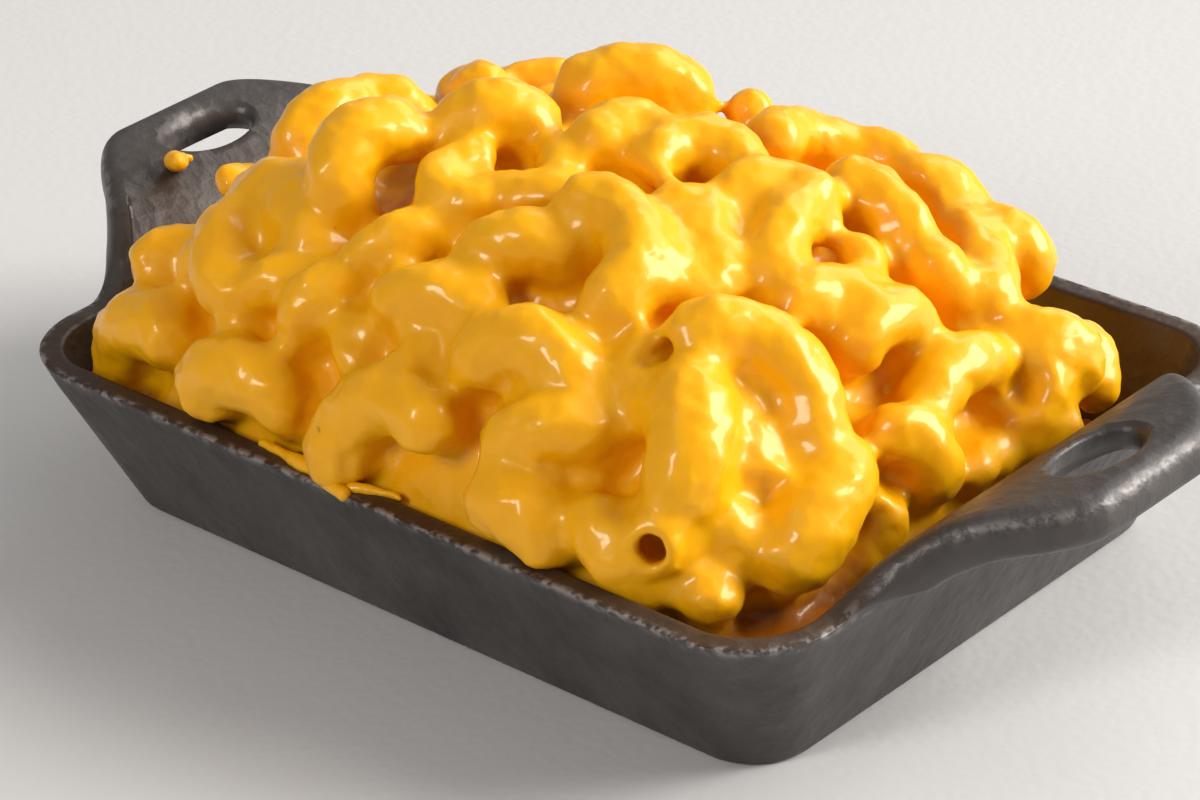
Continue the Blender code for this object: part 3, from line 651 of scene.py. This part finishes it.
def paint_server(mesh):
    """Mark where the iron is rubbed bare, where grey specks paint a highlight on the ears' beads, and
    where oil has baked on.
    """
    co = point_array(mesh) / MM
    normal = point_array(mesh, "normal")
    x, y, z = co.T
    out = inner_wall((x, y, np.full(len(x), RIM_HEIGHT - 0.001)), 0.0)
    edge = np.exp(-((out - RUB_AT) / RUB_HALF) ** 2) * np.exp(-((z - RIM_HEIGHT) / RUB_DROP) ** 2)
    # painted highlight, partly rubbed metal: the bead's faces that tilt up take the grey specks
    bead = np.exp(-((normal[:, 2] - BEAD_TILT[0]) / BEAD_TILT[1]) ** 2) * smoothstep(*BEAD_FROM, z)
    bead *= np.maximum(smoothstep(*PAST_SLOT_X, np.abs(x)), smoothstep(*PAST_SLOT_Y, np.abs(y)))
    set_attribute(mesh, "wear", np.maximum(edge, bead * BEAD_WEAR_AND_HIGHLIGHT))
    toward = normal[:, 0] * np.sign(x) * np.abs(x) / RIM_HALF_LENGTH
    toward += normal[:, 1] * np.sign(y) * np.abs(y) / RIM_HALF_WIDTH
    inside = smoothstep(*INSIDE_TILT, toward) * smoothstep(*FILM_HEIGHTS, z)
    rim_top = smoothstep(*FLAT_TILT, normal[:, 2]) * smoothstep(*FILM_ENDS, np.abs(x))
    rim_top *= smoothstep(RIM_HEIGHT - RIM_FILM_UNDER[0], RIM_HEIGHT - RIM_FILM_UNDER[1], z)
    set_attribute(mesh, "film", np.maximum(inside, rim_top))


class MACARONI_OT_server(Operator):
    """Cast the iron server with its two slotted ears"""
    bl_idname = "macaroni.server"
    bl_label = "Cast-Iron Server"

    def execute(self, context):
        settings = context.scene.macaroni_server
        mat = seasoned_iron(settings)
        mesh = server_mesh(settings.wall / MM, settings.floor / MM)
        server = add_object("cast_iron_server", mesh, mat)
        cutters = []
        for side in (-1, 1):
            cutter = add_object("slot_cutter", slot_cutter(side, settings))
            cut = server.modifiers.new("slot", "BOOLEAN")
            cut.operation = "DIFFERENCE"
            cut.solver = "EXACT"
            cut.object = cutter
            cutters.append(cutter)
        mesh = baked(server, "cast_iron_server")
        for cutter in cutters:
            bpy.data.objects.remove(cutter, do_unlink=True)
        mesh.shade_smooth()
        paint_server(mesh)
        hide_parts("dish")
        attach(server, "root")
        return {"FINISHED"}


# ---- macaroni and sauce --------------------------------------------------

def mound(x, y):
    """Height of the heap's rounded top, which falls away at the empty corner."""
    across = np.abs((x - MOUND_CENTRE[0]) / MOUND_HALF[0])
    along = np.abs((y - MOUND_CENTRE[1]) / MOUND_HALF[1])
    out = (across ** MOUND_SQUARENESS + along ** MOUND_SQUARENESS) ** (1.0 / MOUND_SQUARENESS)
    rise = np.maximum(1.0 - out ** MOUND_ROUNDNESS, 0.0) ** (1.0 / MOUND_ROUNDNESS)
    height = MOUND_FOOT + MOUND_RISE * rise
    toward = x * EMPTY_CORNER_NORMAL[0] + y * EMPTY_CORNER_NORMAL[1]
    before, past = CORNER_FALL
    keep = 1.0 - smoothstep(EMPTY_CORNER_AT - before, EMPTY_CORNER_AT + past, toward)
    low = CORNER_LEVEL + CORNER_DEPTH
    return low + (height - low) * keep


def loose_elbows():
    """Elbows lying any way inside the heap, kept apart from each other."""
    draw = random.Random(PASTA_SEED)
    out = []
    taken = []
    for _ in range(PASTA_TRIES):
        x, y = draw.uniform(FOOD_LOW[0], FOOD_HIGH[0]), draw.uniform(FOOD_LOW[1], FOOD_HIGH[1])
        under = draw.uniform(*PASTA_UNDER)
        heading = draw.uniform(0.0, math.tau)
        half = draw.uniform(*PASTA_HALF_BEND)
        radius = draw.uniform(*PASTA_RADIUS)
        centre = Vector((x, y, float(mound(x, y)) - under))
        if any((centre - other).length < PASTA_SPACING for other in taken):
            continue
        level = Vector((math.cos(heading), math.sin(heading), 0.0))
        along = level * PASTA_BEND_R * math.sin(half)
        drop = Vector((0.0, 0.0, PASTA_BEND_R * (1.0 - math.cos(half))))
        taken.append(centre)
        out.append([(*point, radius) for point in (centre - along - drop, centre,
                                                   centre + along - drop)])
    return out


def strand(places, steps=4):
    """Points of a smooth line through (x, y, z, radius) places."""
    p = np.array(places, float)
    p = np.vstack([2.0 * p[0] - p[1], p, 2.0 * p[-1] - p[-2]])
    p[[0, -1], 3] = p[[1, -2], 3]
    out = []
    for a, b, c, d in zip(p, p[1:], p[2:], p[3:]):
        for step in range(steps):
            u = step / steps
            curve = b * 2.0 + (c - a) * u + (a * 2.0 - b * 5.0 + c * 4.0 - d) * u ** 2
            out.append((curve + (b * 3.0 - c * 3.0 + d - a) * u ** 3) / 2.0)
    return np.array(out + [p[-2]])


class SauceField:
    """Distances to the sauce's skin on a grid of voxels, negative inside."""
    FAR = 8.0

    def __init__(self, low, high, voxel):
        self.low = np.array(low, float)
        self.voxel = voxel
        self.count = np.ceil((np.array(high, float) - self.low) / voxel).astype(int) + 1
        self.value = np.full(self.count, self.FAR, np.float32)

    def window(self, low, high):
        """The part of the grid between two corners, and its coordinates."""
        first = np.floor((np.array(low) - self.low) / self.voxel).astype(int)
        last = np.ceil((np.array(high) - self.low) / self.voxel).astype(int) + 1
        first = np.clip(first, 0, self.count - 1)
        last = np.clip(last, first + 1, self.count)
        cut = tuple(slice(a, b) for a, b in zip(first, last))
        return cut, self.coordinates(first, last)

    def coordinates(self, first, last):
        axes = [(self.low[i] + self.voxel * np.arange(first[i], last[i])).astype(np.float32)
                for i in range(3)]
        return np.meshgrid(*axes, indexing="ij", sparse=True)

    def strand_distance(self, line):
        """Distances to a line of changing radius, in the window it reaches."""
        reach = line[:, 3].max() + MARGIN
        whole, _ = self.window(line[:, :3].min(0) - reach, line[:, :3].max(0) + reach)
        distance = np.full(self.value[whole].shape, self.FAR, np.float32)
        for a, b in zip(line, line[1:]):
            spread = max(a[3], b[3]) + MARGIN
            part, (x, y, z) = self.window(np.minimum(a, b)[:3] - spread,
                                          np.maximum(a, b)[:3] + spread)
            axis = b - a
            px, py, pz = x - a[0], y - a[1], z - a[2]
            length = max(float(axis[:3] @ axis[:3]), 0.0001)
            share = np.clip((px * axis[0] + py * axis[1] + pz * axis[2]) / length, 0.0, 1.0)
            gap = np.sqrt((px - axis[0] * share) ** 2 + (py - axis[1] * share) ** 2
                          + (pz - axis[2] * share) ** 2) - (a[3] + axis[3] * share)
            inner = tuple(slice(p.start - w.start, p.stop - w.start) for p, w in zip(part, whole))
            distance[inner] = np.minimum(distance[inner], gap)
        return whole, distance

    def add(self, cut, distance, blend):
        """Join a form on, with a fillet about as wide as the blend."""
        old = self.value[cut]
        mix = np.maximum(blend - np.abs(old - distance), 0.0) / blend
        self.value[cut] = np.minimum(old, distance) - mix * mix * (blend / 4.0)

    def cut_away(self, cut, distance, blend):
        """Take a form out, with its edge rounded by the blend."""
        old = self.value[cut]
        mix = np.maximum(blend - np.abs(old + distance), 0.0) / blend
        self.value[cut] = np.maximum(old, -distance) + mix * mix * (blend / 4.0)

    def take_in(self, solid):
        """Set the distances from a closed solid of the frame."""
        bm = bmesh.new()
        bm.from_mesh(solid)
        bmesh.ops.remove_doubles(bm, verts=bm.verts, dist=MERGE_REACH)
        bmesh.ops.triangulate(bm, faces=bm.faces)
        bm.verts.index_update()
        points = np.array([vert.co for vert in bm.verts]) / MM - self.low
        corners = np.array([[vert.index for vert in face.verts] for face in bm.faces])
        bm.free()
        grid = openvdb.FloatGrid.createLevelSetFromPolygons(
            points.astype(np.float32), triangles=corners.astype(np.uint32),
            transform=openvdb.createLinearTransform(voxelSize=self.voxel),
            halfWidth=self.FAR / self.voxel)
        grid.copyToArray(self.value)

    def even_out(self, passes):
        """Round edges and fill valleys a little, as a coat of sauce does."""
        for _ in range(passes):
            for axis in range(3):
                row = np.moveaxis(self.value, axis, 0)
                row[1:-1] = (row[:-2] + row[1:-1] * 2.0 + row[2:]) / 4.0

    def cling(self, share):
        """Draw the sauce down into the valleys and up over the elbows.

        The field is compared with its own average over CLING_STEPS, so a
        ridge stands out and a valley sinks, and a flat stretch stays.
        """
        average = self.value.copy()
        for step in CLING_STEPS:
            for axis in range(3):
                row = np.moveaxis(average, axis, 0)
                inner = slice(step, -step)
                row[inner] = (row[:-2 * step] + row[inner] * 2.0 + row[2 * step:]) / 4.0
        self.value += (self.value - average) * share

    def sample(self, points):
        """Field value at points in millimetres, read between voxels."""
        at = (points - self.low) / self.voxel
        at = np.clip(at, 0.0, self.count - 1.001)
        base = at.astype(int)
        u = at - base
        total = np.zeros(len(points))
        for corner in range(8):
            step = np.array([corner & 1, corner >> 1 & 1, corner >> 2 & 1])
            share = np.prod(np.where(step, u, 1.0 - u), axis=1)
            i, j, k = (base + step).T
            total += share * self.value[i, j, k]
        return total


CLING_STEPS = (1, 2, 4, 8)     # voxels, each twice the one before
MERGE_REACH = 0.00001          # metres; the frame's triangles come unjoined
MARGIN = 3.5                   # how far past a form its distances are worked out


def inner_wall(xyz, wall):
    """Distance past the server's inner wall, and straight up over its rim."""
    x, y, z = xyz
    below = z < RIM_HEIGHT
    lean = BASE_INSET * (1.0 - np.minimum(z, RIM_HEIGHT) / RIM_HEIGHT)
    radius = np.maximum(RIM_CORNER_R - (RIM_CORNER_R - BASE_CORNER_R) / BASE_INSET * lean - wall,
                        SHARPEST_CORNER_R)
    half_x = RIM_HALF_LENGTH - wall - lean
    half_y = np.where(below, RIM_HALF_WIDTH - wall - lean, RIM_HALF_WIDTH + OVERHANG)
    out_x = np.abs(x) - half_x + radius
    out_y = np.abs(y) - half_y + radius
    outside = np.hypot(np.maximum(out_x, 0.0), np.maximum(out_y, 0.0))
    return outside + np.minimum(np.maximum(out_x, out_y), 0.0) - radius


def sauce_field(sauce, server):
    """The frame's heap under a coat of sauce, cut to the room in the server."""
    floor = server.floor / MM
    low = (FOOD_LOW[0] - FIELD_ROOM, FOOD_LOW[1] - FIELD_ROOM, floor - FIELD_ROOM_UNDER)
    high = tuple(c + FIELD_ROOM for c in FOOD_HIGH)
    field = SauceField(low, high, sauce.voxel / MM)
    field.take_in(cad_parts["macaroni_heap"].data)
    field.even_out(sauce.melt)
    field.cling(sauce.cling)
    cut, (x, y, z) = field.window(low, high)
    room = np.maximum(inner_wall((x, y, z), server.wall / MM - WALL_FIT), (floor - WALL_FIT) - z)
    field.cut_away(cut, -room, WALL_FIT_ROUNDING)
    return field


def skin_mesh(field):
    """The field's zero surface as quads, in millimetres."""
    grid = openvdb.FloatGrid()
    grid.background = field.FAR
    grid.copyFromArray(np.ascontiguousarray(np.clip(field.value, -field.FAR, field.FAR)))
    points, _, quads = grid.convertToPolygons(isovalue=0.0, adaptivity=0.0)
    points = points * field.voxel + field.low
    mesh = bpy.data.meshes.new("cheese_sauce")
    mesh.from_pydata((points * MM).tolist(), [], quads.tolist())
    return mesh


def keep_largest(mesh):
    """Drop every loose shell but the one with most faces, and face it out."""
    bm = bmesh.new()
    bm.from_mesh(mesh)
    seen = set()
    shells = []
    for face in bm.faces:
        if face in seen:
            continue
        shell = [face]
        seen.add(face)
        for item in shell:
            for edge in item.edges:
                for near in edge.link_faces:
                    if near not in seen:
                        seen.add(near)
                        shell.append(near)
        shells.append(shell)
    shells.sort(key=len, reverse=True)
    spare = [face for shell in shells[1:] for face in shell]
    bmesh.ops.delete(bm, geom=spare, context="FACES")
    bmesh.ops.delete(bm, geom=[vert for vert in bm.verts if not vert.link_faces], context="VERTS")
    bmesh.ops.recalc_face_normals(bm, faces=bm.faces)
    bm.to_mesh(mesh)
    bm.free()


def ripple(mesh):
    """Low lumps and fine curds that break up the smooth skin."""
    co = point_array(mesh)
    normal = point_array(mesh, "normal")
    for k, point in enumerate(co / MM):
        lump = sum(noise.noise(Vector(point) / spacing) * height for spacing, height in RIPPLES)
        co[k] += normal[k] * lump * MM
    mesh.vertices.foreach_set("co", co.ravel())


def paint_skin(mesh, field):
    """Mark how shut in the hollows are, where little light gets in, for the painted shade there."""
    co = point_array(mesh) / MM
    normal = point_array(mesh, "normal")
    painted_shade = np.zeros(len(co))
    for reach in SHADE_REACHES:
        clear = field.sample(co + normal * reach)
        painted_shade += np.clip(1.0 - clear / reach, 0.0, 1.0) / len(SHADE_REACHES)
    set_attribute(mesh, "hollow", painted_shade)


class MACARONI_OT_sauce(Operator):
    """Pour the cheese sauce over the elbows"""
    bl_idname = "macaroni.sauce"
    bl_label = "Cheese Sauce"

    def execute(self, context):
        scene = context.scene
        settings = scene.macaroni_sauce
        field = sauce_field(settings, scene.macaroni_server)
        mesh = skin_mesh(field)
        keep_largest(mesh)
        ripple(mesh)
        sauce = add_object("cheese_sauce", mesh, cheese_skin(settings))
        thin = sauce.modifiers.new("thin", "DECIMATE")
        thin.ratio = min(1.0, settings.faces / (2.0 * len(mesh.polygons)))
        mesh = baked(sauce, "cheese_sauce")
        mesh.shade_smooth()
        paint_skin(mesh, field)
        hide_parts("macaroni_heap")
        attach(sauce, "root")
        return {"FINISHED"}


class MACARONI_OT_spills(Operator):
    """Drop the smears and crumbs of sauce on the iron"""
    bl_idname = "macaroni.spills"
    bl_label = "Spilled Sauce"

    def execute(self, context):
        settings = context.scene.macaroni_sauce
        bm = bmesh.new()
        for places in SPILLS:
            line = strand(places)
            field = SauceField(line[:, :3].min(0) - 3.0, line[:, :3].max(0) + 3.0, SPILL_VOXEL)
            field.add(*field.strand_distance(line), settings.lip / MM)
            bm.from_mesh(skin_mesh(field))
        bmesh.ops.recalc_face_normals(bm, faces=bm.faces)
        mesh = bpy.data.meshes.new("sauce_spills")
        bm.to_mesh(mesh)
        bm.free()
        ripple(mesh)
        mesh.shade_smooth()
        spills = add_object("sauce_spills", mesh, bpy.data.materials["cheese_sauce"])
        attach(spills, "root")
        return {"FINISHED"}


def buried(line, field):
    """Whether a tube along the line stays under the skin all round."""
    around = [np.array(axis) * side for axis in np.eye(3) for side in (-1.0, 1.0)]
    reach = line[:, 3:] * BURIED_SHARE
    return all(field.sample(line[:, :3] + way * reach).max() < 0.0 for way in around)


def elbow_lines(coat, field):
    """One poly spline for each elbow, with its radius under the sauce."""
    curve = bpy.data.curves.new("elbow_lines", "CURVE")
    curve.dimensions = "3D"
    for places in loose_elbows():
        line = strand(places)
        if not buried(line, field):
            continue
        spline = curve.splines.new("POLY")
        spline.points.add(len(line) - 1)
        for point, (x, y, z, radius) in zip(spline.points, line):
            point.co = (*place((x, y, z)), 1.0)
            point.radius = (radius - coat) * MM
    return curve


def tube_tree(mat):
    """Geometry Nodes: a hollow pasta tube along every line."""
    tree = bpy.data.node_groups.new("hollow_elbows", "GeometryNodeTree")
    face = tree.interface
    face.new_socket("Lines", in_out="INPUT", socket_type="NodeSocketGeometry")
    for name, kind in (("Wall", "NodeSocketFloat"), ("Sides", "NodeSocketInt")):
        face.new_socket(name, in_out="INPUT", socket_type=kind)
    face.new_socket("Elbows", in_out="OUTPUT", socket_type="NodeSocketGeometry")
    start = add_node(tree, "NodeGroupInput").outputs
    ring = add_node(tree, "GeometryNodeCurvePrimitiveCircle",
                    {"Resolution": start["Sides"], "Radius": 1.0})
    radius = add_node(tree, "GeometryNodeInputRadius")
    tube = add_node(tree, "GeometryNodeCurveToMesh",
                    {"Curve": start["Lines"], "Profile Curve": ring.outputs["Curve"],
                     "Scale": radius.outputs["Radius"]})
    turned = add_node(tree, "GeometryNodeFlipFaces", {"Mesh": tube.outputs["Mesh"]})
    bore = add_node(tree, "GeometryNodeExtrudeMesh",
                    {"Mesh": turned.outputs["Mesh"], "Offset Scale": start["Wall"],
                     "Individual": False})
    both = add_node(tree, "GeometryNodeJoinGeometry")
    tree.links.new(tube.outputs["Mesh"], both.inputs["Geometry"])
    tree.links.new(bore.outputs["Mesh"], both.inputs["Geometry"])
    closed = add_node(tree, "GeometryNodeMergeByDistance",
                      {"Geometry": both.outputs["Geometry"], "Distance": 0.00001})
    real = add_node(tree, "GeometryNodeRealizeInstances", {"Geometry": closed.outputs["Geometry"]})
    painted = add_node(tree, "GeometryNodeSetMaterial",
                       {"Geometry": real.outputs["Geometry"], "Material": mat})
    add_node(tree, "NodeGroupOutput", {"Elbows": painted.outputs["Geometry"]})
    return tree


class MACARONI_OT_elbows(Operator):
    """Lay the hollow macaroni elbows"""
    bl_idname = "macaroni.elbows"
    bl_label = "Elbow Macaroni"

    def execute(self, context):
        settings = context.scene.macaroni_pasta
        mat = cooked_pasta(settings)
        field = sauce_field(context.scene.macaroni_sauce, context.scene.macaroni_server)
        lines = add_object("elbow_lines", elbow_lines(settings.coat / MM, field))
        tree = tube_tree(mat)
        layout = lines.modifiers.new("tubes", "NODES")
        layout.node_group = tree
        sockets = {item.name: item.identifier for item in tree.interface.items_tree}
        layout[sockets["Wall"]] = settings.wall
        layout[sockets["Sides"]] = settings.sides
        graph = bpy.context.evaluated_depsgraph_get()
        graph.update()
        mesh = bpy.data.meshes.new_from_object(lines.evaluated_get(graph))
        bpy.data.objects.remove(lines, do_unlink=True)
        mesh.name = "elbow_macaroni"
        mesh.shade_smooth()
        elbows = add_object("elbow_macaroni", mesh)
        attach(elbows, "root")
        return {"FINISHED"}


# ---- stage ---------------------------------------------------------------

CAMERA_AZIMUTH = math.radians(44.32)
CAMERA_ELEVATION = math.radians(28.72)
CAMERA_ROLL = math.radians(-3.93)
CAMERA_TARGET = (-1.4, -3.3, 17.3)
CAMERA_DISTANCE = 598.5
CAMERA_LENS = 131.08
CAMERA_SENSOR = 36.0
CAMERA_CLIP = (0.01, 20.0)     # metres, as the places of the lights are

TABLE_HALF = 1.6
LIGHT_AIM = Vector((0.0, 0.0, 0.03))
# Each light's place right of, above and before the food, its size and colour.
LIGHTS = {
    "key": ((2.15, 1.14, 0.0), (1.4, 1.4), (1.0, 0.98, 0.95)),
    "back": ((1.1, 1.2, -1.2), (1.6, 1.2), (1.0, 0.99, 0.97)),
    "fill": ((-0.5, 0.5, 0.5), (0.18, 0.25), (1.0, 0.96, 0.94)),
}
ROOM_COLOUR = (0.98, 0.99, 1.0, 1.0)


def camera_axes():
    """Right, up and backward directions of the camera before its roll."""
    a, e = CAMERA_AZIMUTH, CAMERA_ELEVATION
    back = Vector((math.sin(a) * math.cos(e), -math.cos(a) * math.cos(e), math.sin(e)))
    right = Vector((math.cos(a), math.sin(a), 0.0))
    return right, back.cross(right), back


def add_camera():
    right, up, back = camera_axes()
    r = CAMERA_ROLL
    turned = right * math.cos(r) + up * math.sin(r)
    upward = up * math.cos(r) - right * math.sin(r)
    camera = bpy.data.cameras.new("camera")
    camera.lens = CAMERA_LENS
    camera.sensor_width = CAMERA_SENSOR
    camera.clip_start, camera.clip_end = CAMERA_CLIP
    obj = bpy.data.objects.new("camera", camera)
    bpy.context.scene.collection.objects.link(obj)
    matrix = Matrix((turned, upward, back)).transposed().to_4x4()
    matrix.translation = Vector(place(CAMERA_TARGET)) + back * CAMERA_DISTANCE * MM
    obj.matrix_world = matrix
    bpy.context.scene.camera = obj


def add_panel_light(name, place_at, size, power, colour):
    """A soft rectangular light aimed at the food."""
    light = bpy.data.lights.new(name, "AREA")
    light.shape = "RECTANGLE"
    light.size, light.size_y = size
    light.energy = power
    light.color = colour
    obj = bpy.data.objects.new(name, light)
    bpy.context.scene.collection.objects.link(obj)
    obj.location = place_at
    aim = LIGHT_AIM - Vector(place_at)
    obj.rotation_euler = aim.to_track_quat("-Z", "Y").to_euler()


def toward_camera(right, up, back):
    """A place given by how far it is right of, above and before the food."""
    side, _, facing = camera_axes()
    level = Vector((facing.x, facing.y, 0.0)).normalized()
    return side * right + Vector((0.0, 0.0, up)) + level * back


class MACARONI_OT_stage(Operator):
    """Set the table, the lights and the camera"""
    bl_idname = "macaroni.stage"
    bl_label = "Stage"

    def execute(self, context):
        settings = context.scene.macaroni_stage
        bm = bmesh.new()
        bmesh.ops.create_grid(bm, x_segments=4, y_segments=4, size=TABLE_HALF)
        mesh = bpy.data.meshes.new("table")
        bm.to_mesh(mesh)
        bm.free()
        table = add_object("table", mesh, table_top(settings))
        for name, (place_at, size, colour) in LIGHTS.items():
            power = getattr(settings, name)
            add_panel_light(name, toward_camera(*place_at), size, power, colour)
        world = bpy.data.worlds.new("room")
        world.use_nodes = True
        background = world.node_tree.nodes["Background"]
        background.inputs["Color"].default_value = ROOM_COLOUR
        background.inputs["Strength"].default_value = settings.sky
        context.scene.world = world
        context.scene.view_settings.view_transform = "Standard"
        add_camera()
        return {"FINISHED"}


class MACARONI_PT_panel(Panel):
    """Sidebar panel that lists the pieces and their settings."""
    bl_label = "Macaroni and Cheese"
    bl_space_type = "VIEW_3D"
    bl_region_type = "UI"
    bl_category = "Macaroni"

    def draw(self, context):
        for group, operator in PIECES:
            box = self.layout.box()
            settings = getattr(context.scene, group)
            for name in settings.__annotations__:
                box.prop(settings, name)
            box.operator(operator)


PIECES = [
    ("macaroni_server", "macaroni.server"),
    ("macaroni_sauce", "macaroni.sauce"),
    ("macaroni_sauce", "macaroni.spills"),
    ("macaroni_pasta", "macaroni.elbows"),
    ("macaroni_stage", "macaroni.stage"),
]
SETTINGS = {
    "macaroni_server": ServerSettings,
    "macaroni_sauce": SauceSettings,
    "macaroni_pasta": PastaSettings,
    "macaroni_stage": StageSettings,
}
CLASSES = [*SETTINGS.values(), MACARONI_OT_server, MACARONI_OT_sauce, MACARONI_OT_spills,
           MACARONI_OT_elbows, MACARONI_OT_stage, MACARONI_PT_panel]


def register():
    for cls in CLASSES:
        bpy.utils.register_class(cls)
    for name, group in SETTINGS.items():
        setattr(bpy.types.Scene, name, PointerProperty(type=group))


def unregister():
    for name in SETTINGS:
        delattr(bpy.types.Scene, name)
    for cls in reversed(CLASSES):
        bpy.utils.unregister_class(cls)


def main():
    register()
    bpy.ops.macaroni.server()
    bpy.ops.macaroni.sauce()
    bpy.ops.macaroni.spills()
    bpy.ops.macaroni.elbows()
    bpy.ops.macaroni.stage()


if __name__ == "__main__":
    main()
